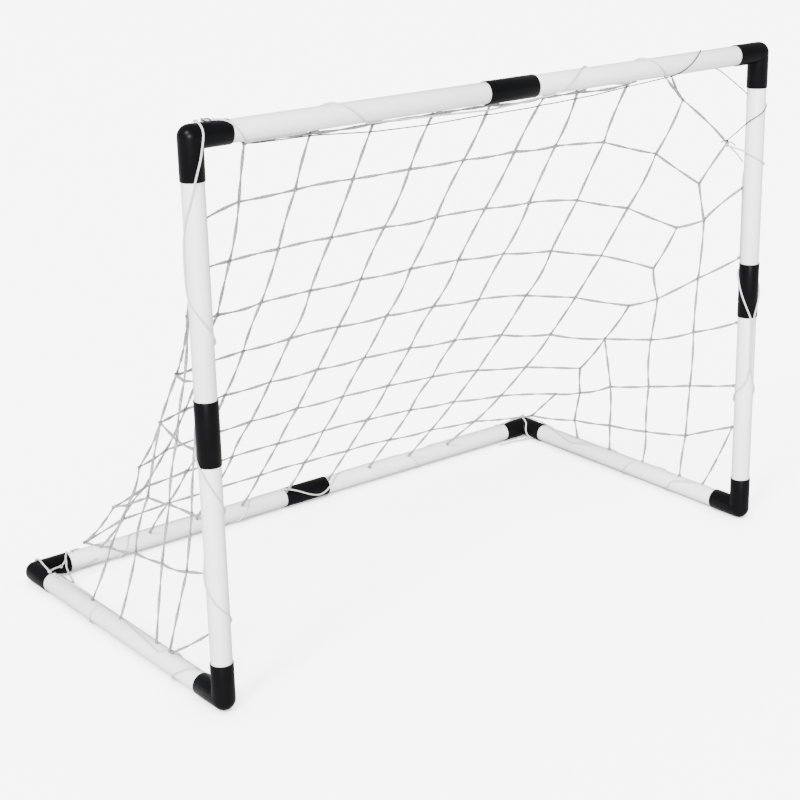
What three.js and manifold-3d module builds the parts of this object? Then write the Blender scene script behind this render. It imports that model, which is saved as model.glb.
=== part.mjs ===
// Small free-standing soccer goal: push-fit tube frame, moulded connectors, slanted back, laced-on net.
// Millimetres, +X along the crossbar, +Y from the mouth to the back, +Z up, origin on the ground below
// the middle of the bounding box.
import * as THREE from 'three';
import { mergeVertices } from 'three/addons/utils/BufferGeometryUtils.js';
import Module from 'manifold-3d';

const wasm = await Module();
wasm.setup();

// ---- driving dimensions ----------------------------------------------------------------------------
const overallWidth = 880;
const overallDepth = 480;
const overallHeight = 660;

const tubeRadius = 12.5;
const tubeWall = 1.5;
const socketClearance = 0.3;
const connectorRadius = 13.6;
const elbowLeg = 45;
const elbowStop = 14;
const couplerLength = 74;
const couplerRing = 4;
const passageRadius = 10.6;
const sides = 16;

const laceRadius = 1.1;
const tieRadius = 0.75;
const laceSides = 8;
const laceGap = 0.35;
const groundGap = 0.05;

const netThickness = 1.2;
const netSeamGap = 1.6;
const netReach = 17;
const cornerCutBack = 120;
const cornerCutSide = 130;

// ---- places that follow from them ------------------------------------------------------------------
const rightX = overallWidth / 2 - connectorRadius;
const backY = overallDepth / 2 - connectorRadius;
const lowZ = connectorRadius;
const highZ = overallHeight - connectorRadius;
const boreRadius = tubeRadius + socketClearance;
const flatToCorner = 1 / Math.cos(Math.PI / sides);

// ---- finishes --------------------------------------------------------------------------------------
const whiteTube = () => new THREE.MeshStandardMaterial({ color: 0xe9e9ea, roughness: 0.42, metalness: 0 });
const blackPlastic = () => new THREE.MeshStandardMaterial({ color: 0x0b0b0c, roughness: 0.3, metalness: 0 });
const darkCord = () => new THREE.MeshStandardMaterial({ color: 0x3c3c3e, roughness: 0.7, metalness: 0 });
const whiteTwine = () => new THREE.MeshStandardMaterial({ color: 0xe4e4e2, roughness: 0.85, metalness: 0 });

const goal = new THREE.Group();

function addPiece(name, geometry, material) {
  const mesh = new THREE.Mesh(geometry, material);
  mesh.name = name;
  goal.add(mesh);
  return mesh;
}

// ---- round stock: a closed profile turned about Y, its flats facing the row axes --------------------
function turned(profile) {
  const points = profile.map(([radius, height]) => new THREE.Vector2(radius * flatToCorner, height));
  points.push(points[0].clone());
  return new THREE.LatheGeometry(points, sides, Math.PI / sides);
}

function tubeGeometry(length) {
  const inner = tubeRadius - tubeWall;
  const half = length / 2;
  return turned([[inner, -half], [tubeRadius, -half], [tubeRadius, half], [inner, half]]);
}

// A straight sleeve: a socket at each end and a stop ring in the middle that parts the two tubes.
function couplerGeometry() {
  const half = couplerLength / 2;
  const ring = couplerRing / 2;
  return turned([
    [boreRadius, -half], [connectorRadius, -half], [connectorRadius, half], [boreRadius, half],
    [boreRadius, ring], [passageRadius, ring], [passageRadius, -ring], [boreRadius, -ring],
  ]);
}

// ---- elbows: two sleeves at a right angle round a ball corner ---------------------------------------
function toSolid(geometry) {
  const bare = geometry.clone();
  bare.deleteAttribute('normal');
  bare.deleteAttribute('uv');
  const merged = mergeVertices(bare, 1e-4);
  return new wasm.Manifold(new wasm.Mesh({
    numProp: 3,
    vertProperties: new Float32Array(merged.attributes.position.array),
    triVerts: new Uint32Array(merged.index.array),
  }));
}

function toGeometry(solid) {
  const mesh = solid.getMesh();
  const geometry = new THREE.BufferGeometry();
  geometry.setAttribute('position', new THREE.BufferAttribute(new Float32Array(mesh.vertProperties), 3));
  geometry.setIndex(new THREE.BufferAttribute(new Uint32Array(mesh.triVerts), 1));
  geometry.computeVertexNormals();
  return geometry;
}

// A solid leg of round stock from the corner out along +X or +Y, between two distances.
function leg(radius, from, to, along) {
  const corner = radius * flatToCorner;
  const geometry = new THREE.CylinderGeometry(corner, corner, to - from, sides, 1, false, Math.PI / sides);
  geometry.translate(0, (from + to) / 2, 0);
  if (along === 'x') {
    geometry.rotateZ(-Math.PI / 2);
  }
  return toSolid(geometry);
}

function ball(radius) {
  return toSolid(new THREE.SphereGeometry(radius, sides, sides / 2));
}

function elbowGeometry() {
  const overrun = 1;
  let body = ball(connectorRadius);
  let hollow = ball(passageRadius);
  for (const along of ['x', 'y']) {
    body = body.add(leg(connectorRadius, 0, elbowLeg, along));
    hollow = hollow.add(leg(passageRadius, 0, elbowStop + overrun, along));
    hollow = hollow.add(leg(boreRadius, elbowStop, elbowLeg + overrun, along));
  }
  return toGeometry(body.subtract(hollow));
}

// ---- the frame: corners, members, and the pieces along each member ----------------------------------
const corners = {
  top_left: new THREE.Vector3(-rightX, -backY, highZ),
  top_right: new THREE.Vector3(rightX, -backY, highZ),
  front_left: new THREE.Vector3(-rightX, -backY, lowZ),
  front_right: new THREE.Vector3(rightX, -backY, lowZ),
  rear_left: new THREE.Vector3(-rightX, backY, lowZ),
  rear_right: new THREE.Vector3(rightX, backY, lowZ),
};

const up = new THREE.Vector3(0, 0, 1);
const down = new THREE.Vector3(0, 0, -1);
const left = new THREE.Vector3(-1, 0, 0);
const right = new THREE.Vector3(1, 0, 0);
const ahead = new THREE.Vector3(0, -1, 0);
const back = new THREE.Vector3(0, 1, 0);

// Each elbow's two legs point along these directions.
const elbows = [
  ['top_left', right, down],
  ['top_right', left, down],
  ['front_left', up, back],
  ['front_right', up, back],
  ['rear_left', right, ahead],
  ['rear_right', left, ahead],
];

for (const [place, firstLeg, secondLeg] of elbows) {
  const elbow = addPiece(`${place}_elbow`, elbowGeometry(), blackPlastic());
  const normal = new THREE.Vector3().crossVectors(firstLeg, secondLeg);
  elbow.setRotationFromMatrix(new THREE.Matrix4().makeBasis(firstLeg, secondLeg, normal));
  elbow.position.copy(corners[place]);
}

function turnAlong(mesh, direction) {
  mesh.quaternion.setFromUnitVectors(back, direction);
}

function addTube(name, start, direction, from, to) {
  const tube = addPiece(name, tubeGeometry(to - from), whiteTube());
  turnAlong(tube, direction);
  tube.position.copy(start).addScaledVector(direction, (from + to) / 2);
}

function addCoupler(name, start, direction, at) {
  const coupler = addPiece(name, couplerGeometry(), blackPlastic());
  turnAlong(coupler, direction);
  coupler.position.copy(start).addScaledVector(direction, at);
}

// A long member is two tubes joined by a coupler at mid-span, and a short one is a single tube. Degrees
// round a member are counted from netSide, where the net hangs, towards quarter.
const members = {
  crossbar: { start: corners.top_left, finish: corners.top_right, netSide: down, quarter: ahead },
  left_post: { start: corners.front_left, finish: corners.top_left, netSide: back, quarter: left },
  right_post: { start: corners.front_right, finish: corners.top_right, netSide: back, quarter: left },
  rear_bar: { start: corners.rear_left, finish: corners.rear_right, netSide: up, quarter: ahead },
  left_base: { start: corners.front_left, finish: corners.rear_left, netSide: up, quarter: left },
  right_base: { start: corners.front_right, finish: corners.rear_right, netSide: up, quarter: left },
};

const tubeNames = {
  crossbar: ['crossbar_tube_left', 'crossbar_tube_right'],
  left_post: ['left_post_tube_lower', 'left_post_tube_upper'],
  right_post: ['right_post_tube_lower', 'right_post_tube_upper'],
  rear_bar: ['rear_bar_tube_left', 'rear_bar_tube_right'],
  left_base: ['left_base_tube'],
  right_base: ['right_base_tube'],
};

for (const [name, member] of Object.entries(members)) {
  const { start, finish } = member;
  member.span = start.distanceTo(finish);
  member.direction = finish.clone().sub(start).normalize();
  const atElbow = elbowStop + socketClearance;
  const atCoupler = couplerRing / 2 + socketClearance;
  const middle = member.span / 2;
  const far = member.span - atElbow;
  member.sleeves = [[0, elbowLeg], [member.span - elbowLeg, member.span]];
  if (tubeNames[name].length === 1) {
    addTube(tubeNames[name][0], start, member.direction, atElbow, far);
    continue;
  }
  addTube(tubeNames[name][0], start, member.direction, atElbow, middle - atCoupler);
  addTube(tubeNames[name][1], start, member.direction, middle + atCoupler, far);
  addCoupler(`${name}_coupler`, start, member.direction, middle);
  member.sleeves.push([middle - couplerLength / 2, middle + couplerLength / 2]);
}

// ---- the net: flat thin panels standing for the knotted net, drawn in along its two corners ---------
const netX = rightX - netReach / 2;
const netFront = -backY + netReach;
const netBack = backY - netReach;
const netTop = highZ - netReach;
const netBottom = lowZ + netReach;
const netMiddle = (netTop + netBottom) / 2;

function insetOutline(outline, gap) {
  return outline.map((point, i) => {
    const before = outline[(i + outline.length - 1) % outline.length];
    const after = outline[(i + 1) % outline.length];
    const incoming = point.clone().sub(before).normalize();
    const outgoing = after.clone().sub(point).normalize();
    const turn = incoming.cross(outgoing);
    const shift = outgoing.clone().sub(incoming).multiplyScalar(gap / turn);
    return point.clone().add(shift);
  });
}

function addNetPanel(name, points) {
  const origin = points[0];
  const xAxis = points[1].clone().sub(origin).normalize();
  const normal = xAxis.clone().cross(points[2].clone().sub(origin)).normalize();
  const yAxis = normal.clone().cross(xAxis);
  const outline = points.map((point) => {
    const offset = point.clone().sub(origin);
    return new THREE.Vector2(offset.dot(xAxis), offset.dot(yAxis));
  });
  const shape = new THREE.Shape(insetOutline(outline, netSeamGap));
  const geometry = new THREE.ExtrudeGeometry(shape, { depth: netThickness, bevelEnabled: false });
  geometry.translate(0, 0, -netThickness / 2);
  const panel = addPiece(name, geometry, whiteTwine());
  panel.setRotationFromMatrix(new THREE.Matrix4().makeBasis(xAxis, yAxis, normal));
  panel.position.copy(origin);
}

function netPlaces(side) {
  return {
    top: new THREE.Vector3(side * netX, netFront, netTop),
    foot: new THREE.Vector3(side * netX, netFront, netBottom),
    heel: new THREE.Vector3(side * netX, netBack, netBottom),
    backFold: new THREE.Vector3(side * (netX - cornerCutBack), 0, netMiddle),
    sideFold: new THREE.Vector3(side * netX, -cornerCutSide, netMiddle),
  };
}

const netLeft = netPlaces(-1);
const netRight = netPlaces(1);
addNetPanel('net_back_upper', [netLeft.top, netLeft.backFold, netRight.backFold, netRight.top]);
addNetPanel('net_back_lower', [netLeft.backFold, netLeft.heel, netRight.heel, netRight.backFold]);
for (const [side, at] of [['left', netLeft], ['right', netRight]]) {
  addNetPanel(`net_${side}_corner_upper`, [at.top, at.sideFold, at.backFold]);
  addNetPanel(`net_${side}_corner_lower`, [at.backFold, at.sideFold, at.heel]);
  addNetPanel(`net_${side}_side_front`, [at.top, at.foot, at.sideFold]);
  addNetPanel(`net_${side}_side_rear`, [at.sideFold, at.foot, at.heel]);
}

// ---- the lacing: cords that run along the net's edge and round the tubes -----------------------------
// A route is a list of stops. A stop is [member, distance along it, degrees round it, extra stand-off], or a
// free point where the cord crosses open air.
const knotInFromPost = 31;
const knotBehindPost = 20;
const knotHeight = 530;
const knotGap = 3;
const aboveKnot = new THREE.Vector3(rightX - knotInFromPost, -backY + knotBehindPost, knotHeight + knotGap);
const belowKnot = new THREE.Vector3(rightX - knotInFromPost, -backY + knotBehindPost, knotHeight - knotGap);

const laces = [
  {
    name: 'crossbar_lace', radius: laceRadius,
    route: [['crossbar', 16, 180], ['crossbar', 38, 165], ['crossbar', 52, 90], ['crossbar', 65, 5],
      ['crossbar', 143, 0], ['crossbar', 176, -180], ['crossbar', 225, -360], ['crossbar', 305, -360, 3],
      ['crossbar', 384, -360, 6], ['crossbar', 477, -360, 1], ['crossbar', 544, -180],
      ['crossbar', 606, 0], ['crossbar', 624, 0], ['crossbar', 641, -180], ['crossbar', 674, -316]],
  },
  {
    name: 'top_tie_cord', radius: tieRadius,
    route: [['crossbar', 24, 190], ['crossbar', 42, 270], ['crossbar', 60, 330, 1.8],
      ['crossbar', 70, 362, 2.6], ['crossbar', 82, 374, 2.6], ['crossbar', 150, 374, 4],
      ['crossbar', 225, 374, 10], ['crossbar', 305, 374, 12], ['crossbar', 420, 374, 10],
      ['crossbar', 490, 374, 10], ['crossbar', 560, 374, 8], ['crossbar', 618, 374, 4],
      ['crossbar', 692, 390, 0.5], ['crossbar', 746, 540, 0.5], ['crossbar', 779, 720, 0.5],
      ['right_post', 581, 49], ['right_post', 566, -131], ['right_post', 540, -300], aboveKnot],
  },
  {
    name: 'left_post_lace', radius: laceRadius,
    route: [['crossbar', 8, 180], ['crossbar', 8, 110, 0.8], ['left_post', 612, 188, 0.8],
      ['left_post', 600, 172], ['left_post', 590, 159], ['left_post', 575, 146], ['left_post', 548, 105],
      ['left_post', 531, 85], ['left_post', 500, 60], ['left_post', 474, 70], ['left_post', 463, 98],
      ['left_post', 418, 229], ['left_post', 395, 360], ['left_post', 310, 360],
      ['left_post', 281, 458], ['left_post', 239, 550], ['left_post', 195, 720], ['left_post', 185, 720],
      ['left_post', 153, 769], ['left_post', 115, 877], ['left_post', 75, 1050]],
  },
  {
    name: 'right_post_lace', radius: laceRadius,
    route: [belowKnot, ['right_post', 505, 90], ['right_post', 486, 229], ['right_post', 478, 380],
      ['right_post', 360, 380]],
  },
  {
    name: 'right_post_tie', radius: laceRadius,
    route: [['right_post', 158, 20], ['right_post', 186, 134], ['right_post', 202, 157],
      ['right_post', 277, 157], ['right_post', 340, 49], ['right_post', 350, -50],
      ['right_post', 316, -131], ['right_post', 288, -185], ['right_post', 272, -194],
      ['right_post', 202, -194], ['right_post', 190, -180], ['right_post', 162, -100]],
  },
  {
    name: 'rear_bar_lace', radius: laceRadius,
    route: [['rear_bar', 52, 360], ['rear_bar', 113, 180], ['rear_bar', 137, 0], ['rear_bar', 266, 0],
      ['rear_bar', 300, -180], ['rear_bar', 332, -360], ['rear_bar', 384, -360], ['rear_bar', 426, -270],
      ['rear_bar', 448, -240], ['rear_bar', 469, -300], ['rear_bar', 487, -360], ['rear_bar', 606, -360],
      ['rear_bar', 640, -180], ['rear_bar', 672, 0], ['rear_bar', 795, 0]],
  },
  {
    name: 'left_base_lace', radius: laceRadius,
    route: [['left_base', 55, 0], ['left_base', 95, 120], ['left_base', 121, 400], ['left_base', 229, 360],
      ['left_base', 278, 360], ['left_base', 287, 480], ['left_base', 334, 680], ['left_base', 400, 720]],
  },
  {
    name: 'right_base_lace', radius: laceRadius,
    route: [['right_base', 70, 0], ['right_base', 120, 60], ['right_base', 160, 360],
      ['right_base', 197, 360], ['right_base', 240, 600], ['right_base', 265, 720],
      ['right_base', 334, 780], ['right_base', 400, 720]],
  },
];

const facet = 360 / sides;
const farthestStep = 60;
const rise = 8;
const pastEdge = 1;

// How far a cord's centre line stands from the member's axis: farther out where it crosses a sleeve.
function standOff(member, distance, radius) {
  const onTube = tubeRadius * flatToCorner + laceGap + radius;
  const onSleeve = connectorRadius * flatToCorner + laceGap + radius;
  const heights = member.sleeves.map(([from, to]) => {
    const outside = Math.max(from - distance, distance - to, 0);
    return onSleeve - (onSleeve - onTube) * Math.min(outside / rise, 1);
  });
  return Math.max(onTube, ...heights);
}

function onMember(stop, radius) {
  const [name, distance, turn, lift = 0] = stop;
  const member = members[name];
  const angle = THREE.MathUtils.degToRad(turn);
  const outward = member.netSide.clone().multiplyScalar(Math.cos(angle));
  outward.addScaledVector(member.quarter, Math.sin(angle));
  const point = member.start.clone().addScaledVector(member.direction, distance);
  return { point: point.addScaledVector(outward, standOff(member, distance, radius) + lift), outward };
}

// Two stops on one member, cut at the tube's own edges so that each straight step lies along one flat of
// it, and cut again where the cord climbs on to a sleeve.
function between(from, to) {
  const [name, fromDistance, fromTurn, fromLift = 0] = from;
  const [, toDistance, toTurn, toLift = 0] = to;
  const length = toDistance - fromDistance;
  const turns = Math.abs(toTurn - fromTurn) / facet;
  const steps = Math.max(Math.ceil(turns), Math.ceil(Math.abs(length) / farthestStep), 1);
  const regular = Array.from({ length: steps }, (_, k) => k / steps);
  const climbs = members[name].sleeves.flatMap(([low, high]) => [
    low - rise, low - pastEdge, high + pastEdge, high + rise,
  ]);
  const fractions = climbs.map((climb) => (climb - fromDistance) / length);
  const extra = fractions.filter((fraction) => fraction > 0 && fraction < 1);
  const mix = THREE.MathUtils.lerp;
  return [...regular, ...extra].sort((a, b) => a - b).map((part) => [
    name, mix(fromDistance, toDistance, part), mix(fromTurn, toTurn, part), mix(fromLift, toLift, part),
  ]);
}

class LacePath extends THREE.Curve {
  constructor({ route, radius }) {
    super();
    const stops = route.flatMap((stop, i) => {
      const next = route[i + 1];
      const sameMember = next && !stop.isVector3 && !next.isVector3 && stop[0] === next[0];
      return sameMember ? between(stop, next) : [stop];
    });
    const places = stops.map((stop) => (stop.isVector3 ? { point: stop } : onMember(stop, radius)));
    this.points = places.map(({ point }) => point);
    this.outward = places.map(({ outward }, i) => outward ?? (places[i - 1] ?? places[i + 1]).outward);
    this.steps = places.length - 1;
  }

  getSpacedPoints() {
    return this.points;
  }

  computeFrenetFrames() {
    const tangents = this.points.map((point, i) => {
      const before = this.points[Math.max(i - 1, 0)];
      const after = this.points[Math.min(i + 1, this.steps)];
      return after.clone().sub(before).normalize();
    });
    const normals = this.outward.map((outward, i) => {
      const tangent = tangents[i];
      return outward.clone().addScaledVector(tangent, -outward.dot(tangent)).normalize();
    });
    const binormals = normals.map((normal, i) => tangents[i].clone().cross(normal));
    return { tangents, normals, binormals };
  }
}

// Under a member on the ground a cord is pressed flat between the tube and the ground.
function pressFlat(geometry, { start, direction }, radius) {
  const position = geometry.attributes.position;
  const innerFace = tubeRadius * flatToCorner + laceGap;
  const underside = -0.5;
  const point = new THREE.Vector3();
  for (let i = 0; i < position.count; i += 1) {
    point.fromBufferAttribute(position, i);
    const foot = direction.clone().multiplyScalar(point.clone().sub(start).dot(direction)).add(start);
    const outward = point.clone().sub(foot);
    const distance = outward.length();
    outward.normalize();
    if (outward.z >= underside) {
      continue;
    }
    const room = (lowZ - groundGap) / -outward.z;
    const outerFace = Math.max(innerFace + 2 * radius, distance);
    if (room >= outerFace) {
      continue;
    }
    const pressed = innerFace + (distance - innerFace) / (outerFace - innerFace) * (room - innerFace);
    foot.addScaledVector(outward, pressed);
    position.setXYZ(i, foot.x, foot.y, foot.z);
  }
}

function cordSection(radius) {
  const corner = (_, i) => {
    const angle = (i + 0.5) * 2 * Math.PI / laceSides;
    return new THREE.Vector2(Math.cos(angle) * radius, Math.sin(angle) * radius);
  };
  return new THREE.Shape(Array.from({ length: laceSides }, corner));
}

for (const lace of laces) {
  const path = new LacePath(lace);
  const section = cordSection(lace.radius);
  const geometry = new THREE.ExtrudeGeometry(section, { steps: path.steps, extrudePath: path });
  const member = members[lace.route[0][0]];
  if (member && member.netSide === up) {
    pressFlat(geometry, member, lace.radius);
  }
  addPiece(lace.name, geometry, lace.radius === tieRadius ? darkCord() : whiteTwine());
}

export default goal;
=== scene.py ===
import math
import random

import bpy
from mathutils import Matrix, Vector


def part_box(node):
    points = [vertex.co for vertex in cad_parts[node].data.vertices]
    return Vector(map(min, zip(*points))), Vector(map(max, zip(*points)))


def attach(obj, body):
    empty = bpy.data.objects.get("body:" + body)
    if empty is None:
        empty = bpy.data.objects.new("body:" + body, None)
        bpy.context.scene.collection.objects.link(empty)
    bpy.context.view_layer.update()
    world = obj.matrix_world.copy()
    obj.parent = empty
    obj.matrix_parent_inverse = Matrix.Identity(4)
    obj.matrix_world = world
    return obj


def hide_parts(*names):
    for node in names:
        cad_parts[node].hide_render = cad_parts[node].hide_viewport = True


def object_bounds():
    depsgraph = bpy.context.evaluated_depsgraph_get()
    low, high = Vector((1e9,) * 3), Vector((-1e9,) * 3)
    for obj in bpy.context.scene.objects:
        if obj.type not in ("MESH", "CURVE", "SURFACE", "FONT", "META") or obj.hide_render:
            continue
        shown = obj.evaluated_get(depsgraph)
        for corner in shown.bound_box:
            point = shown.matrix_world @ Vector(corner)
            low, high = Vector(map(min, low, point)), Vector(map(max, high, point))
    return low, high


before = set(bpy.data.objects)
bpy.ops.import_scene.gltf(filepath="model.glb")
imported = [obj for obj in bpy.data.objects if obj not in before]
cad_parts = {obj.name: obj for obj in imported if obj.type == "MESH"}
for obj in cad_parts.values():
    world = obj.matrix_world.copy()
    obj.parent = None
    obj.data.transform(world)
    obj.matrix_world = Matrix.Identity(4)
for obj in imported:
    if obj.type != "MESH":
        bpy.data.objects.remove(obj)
cadLow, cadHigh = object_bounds()

right, left = Vector((1, 0, 0)), Vector((-1, 0, 0))
back, ahead = Vector((0, 1, 0)), Vector((0, -1, 0))
up, down = Vector((0, 0, 1)), Vector((0, 0, -1))
fullTurn = 2 * math.pi


# the camera stands at the front left and looks slightly down
cameraSettings = {
    "lens": 80.5,
    "sensor": 36,
    "azimuth": -38.8,
    "elevation": 18.9,
    "roll": -0.9,
    "distance": 2.322,
    "aside": 0.0570,
    "lower": -0.113,
    "shiftX": -0.05,
    "middleDrop": 0.0012,
}


def addCamera():
    s = cameraSettings
    azimuth, elevation, roll = (math.radians(s[key]) for key in ("azimuth", "elevation", "roll"))
    behind = Vector((
        math.sin(azimuth) * math.cos(elevation),
        -math.cos(azimuth) * math.cos(elevation),
        math.sin(elevation),
    ))
    sideways = Vector((math.cos(azimuth), math.sin(azimuth), 0))
    upward = behind.cross(sideways)
    middle = Vector((0, 0, (cadLow.z + cadHigh.z) / 2 - s["middleDrop"]))
    place = middle + behind * s["distance"] + sideways * s["aside"] + upward * s["lower"]
    tiltedSide = sideways * math.cos(roll) + upward * math.sin(roll)
    tiltedUp = upward * math.cos(roll) - sideways * math.sin(roll)
    bpy.ops.object.camera_add()
    camera = bpy.context.object
    camera.name = "camera"
    turn = Matrix((tiltedSide, tiltedUp, behind)).transposed()
    camera.matrix_world = Matrix.Translation(place) @ turn.to_4x4()
    camera.data.lens = s["lens"]
    camera.data.sensor_width = s["sensor"]
    camera.data.shift_x = s["shiftX"]
    camera.data.clip_end = 100
    bpy.context.scene.camera = camera


bpy.ops.object.select_all(action="DESELECT")
addCamera()
print("camera placed")


# node groups shared by the finishes

def newGroup(name, inputs, outputs):
    group = bpy.data.node_groups.new(name, "ShaderNodeTree")
    for label, kind, value in inputs:
        socket = group.interface.new_socket(name=label, in_out="INPUT", socket_type=kind)
        if value is not None:
            socket.default_value = value
    for label, kind in outputs:
        group.interface.new_socket(name=label, in_out="OUTPUT", socket_type=kind)
    return group, group.nodes.new("NodeGroupInput"), group.nodes.new("NodeGroupOutput")


def mathNode(tree, operation, first, second=0.0, third=0.0):
    node = tree.nodes.new("ShaderNodeMath")
    node.operation = operation
    for socket, value in zip(node.inputs, (first, second, third)):
        if isinstance(value, bpy.types.NodeSocket):
            tree.links.new(value, socket)
        else:
            socket.default_value = value
    return node.outputs[0]


def noiseNode(tree, vector, scale, detail=3.0):
    node = tree.nodes.new("ShaderNodeTexNoise")
    tree.links.new(vector, node.inputs["Vector"])
    if isinstance(scale, bpy.types.NodeSocket):
        tree.links.new(scale, node.inputs["Scale"])
    else:
        node.inputs["Scale"].default_value = scale
    node.inputs["Detail"].default_value = detail
    return node.outputs["Fac"]


def mixColour(tree, factor, first, second):
    node = tree.nodes.new("ShaderNodeMix")
    node.data_type = "RGBA"
    tree.links.new(factor, node.inputs["Factor"])
    for socket, value in ((node.inputs["A"], first), (node.inputs["B"], second)):
        if isinstance(value, bpy.types.NodeSocket):
            tree.links.new(value, socket)
        else:
            socket.default_value = (*value, 1)
    return node.outputs["Result"]


# moulded skin: a fine grain with broad soft patches over it
def makeSkinGroup():
    group, start, end = newGroup(
        "mouldedSkin",
        [("Vector", "NodeSocketVector", None), ("Grain Scale", "NodeSocketFloat", 2200.0),
         ("Patch Scale", "NodeSocketFloat", 14.0), ("Roughness", "NodeSocketFloat", 0.4),
         ("Roughness Spread", "NodeSocketFloat", 0.1)],
        [("Height", "NodeSocketFloat"), ("Patches", "NodeSocketFloat"), ("Roughness", "NodeSocketFloat")],
    )
    grain = noiseNode(group, start.outputs["Vector"], start.outputs["Grain Scale"], 2.0)
    patches = noiseNode(group, start.outputs["Vector"], start.outputs["Patch Scale"], 4.0)
    offset = mathNode(group, "SUBTRACT", patches, 0.5)
    spread = mathNode(group, "MULTIPLY", offset, start.outputs["Roughness Spread"])
    group.links.new(grain, end.inputs["Height"])
    group.links.new(patches, end.inputs["Patches"])
    group.links.new(mathNode(group, "ADD", start.outputs["Roughness"], spread), end.inputs["Roughness"])
    return group


# twisted plies: the cord's own map has turns round it in U and metres along it in V; besides the height of
# the plies the group gives a mask of painted shade that is strongest in the grooves between them
def makeTwistGroup():
    group, start, end = newGroup(
        "twistedPliesAndGrooveShade",
        [
            ("Vector", "NodeSocketVector", None),
            ("Plies", "NodeSocketFloat", 3.0),
            ("Lay", "NodeSocketFloat", 0.006),
        ],
        [("Height", "NodeSocketFloat"), ("Groove Shade", "NodeSocketFloat")],
    )
    split = group.nodes.new("ShaderNodeSeparateXYZ")
    group.links.new(start.outputs["Vector"], split.inputs[0])
    around = mathNode(group, "MULTIPLY", split.outputs["X"], start.outputs["Plies"])
    along = mathNode(group, "DIVIDE", split.outputs["Y"], start.outputs["Lay"])
    phase = mathNode(group, "MULTIPLY", mathNode(group, "ADD", around, along), math.pi)
    crest = mathNode(group, "ABSOLUTE", mathNode(group, "SINE", phase))
    fibres = noiseNode(group, start.outputs["Vector"], 900.0, 2.0)
    height = mathNode(group, "ADD", crest, mathNode(group, "MULTIPLY", fibres, 0.35))
    group.links.new(height, end.inputs["Height"])
    # painted shade: this mask is strongest in the grooves between the plies, where the cord's colour is
    # darkened
    groove = mathNode(group, "POWER", mathNode(group, "SUBTRACT", 1.0, crest), 3.0)
    group.links.new(groove, end.inputs["Groove Shade"])
    return group


skinGroup = makeSkinGroup()
twistGroup = makeTwistGroup()


def newMaterial(name):
    material = bpy.data.materials.new(name)
    material.use_nodes = True
    return material, material.node_tree, material.node_tree.nodes["Principled BSDF"]


def placeGroup(tree, group, vector, values):
    node = tree.nodes.new("ShaderNodeGroup")
    node.node_tree = group
    tree.links.new(vector, node.inputs["Vector"])
    for label, value in values.items():
        node.inputs[label].default_value = value
    return node


def addBump(tree, shader, height, distance, strength):
    bump = tree.nodes.new("ShaderNodeBump")
    bump.inputs["Distance"].default_value = distance
    bump.inputs["Strength"].default_value = strength
    tree.links.new(height, bump.inputs["Height"])
    tree.links.new(bump.outputs["Normal"], shader.inputs["Normal"])


tubeFinish = {
    "light": (0.80, 0.80, 0.805), "shade": (0.76, 0.76, 0.765), "roughness": 0.36, "spread": 0.10,
    "grainScale": 900.0, "patchScale": 9.0, "bump": 0.00002, "specular": 0.45,
}


def makeTubePlastic():
    s = tubeFinish
    material, tree, shader = newMaterial("extrudedWhitePlastic")
    coordinates = tree.nodes.new("ShaderNodeTexCoord")
    skin = placeGroup(tree, skinGroup, coordinates.outputs["Object"], {
        "Grain Scale": s["grainScale"], "Patch Scale": s["patchScale"],
        "Roughness": s["roughness"], "Roughness Spread": s["spread"],
    })
    colour = mixColour(tree, skin.outputs["Patches"], s["light"], s["shade"])
    tree.links.new(colour, shader.inputs["Base Color"])
    tree.links.new(skin.outputs["Roughness"], shader.inputs["Roughness"])
    shader.inputs["Specular IOR Level"].default_value = s["specular"]
    addBump(tree, shader, skin.outputs["Height"], s["bump"], 0.4)
    return material


connectorFinish = {
    "deep": (0.0012, 0.0012, 0.0014), "worn": (0.0026, 0.0026, 0.003), "roughness": 0.30, "spread": 0.14,
    "grainScale": 2600.0, "patchScale": 30.0, "bump": 0.00003, "specular": 0.055,
}


def makeConnectorPlastic():
    s = connectorFinish
    material, tree, shader = newMaterial("mouldedBlackPlastic")
    coordinates = tree.nodes.new("ShaderNodeTexCoord")
    skin = placeGroup(tree, skinGroup, coordinates.outputs["Object"], {
        "Grain Scale": s["grainScale"], "Patch Scale": s["patchScale"],
        "Roughness": s["roughness"], "Roughness Spread": s["spread"],
    })
    colour = mixColour(tree, skin.outputs["Patches"], s["deep"], s["worn"])
    tree.links.new(colour, shader.inputs["Base Color"])
    tree.links.new(skin.outputs["Roughness"], shader.inputs["Roughness"])
    shader.inputs["Specular IOR Level"].default_value = s["specular"]
    addBump(tree, shader, skin.outputs["Height"], s["bump"], 0.5)
    return material


# a cord's colours: crest is its own colour, and groove is a darker copy of it painted into the grooves
# between the plies as shade
def makeCordMaterial(name, crest, groove, plies, lay):
    material, tree, shader = newMaterial(name)
    cordMap = tree.nodes.new("ShaderNodeUVMap")
    cordMap.uv_map = "cordMap"
    twist = placeGroup(tree, twistGroup, cordMap.outputs["UV"], {"Plies": plies, "Lay": lay})
    # painted shade: the colour turns to the darker groove colour in the grooves between the plies
    tree.links.new(mixColour(tree, twist.outputs["Groove Shade"], crest, groove), shader.inputs["Base Color"])
    shader.inputs["Roughness"].default_value = 0.8
    shader.inputs["Specular IOR Level"].default_value = 0.2
    shader.inputs["Sheen Weight"].default_value = 0.15
    addBump(tree, shader, twist.outputs["Height"], 0.0004, 0.6)
    return material


tubePlastic = makeTubePlastic()
connectorPlastic = makeConnectorPlastic()
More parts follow.
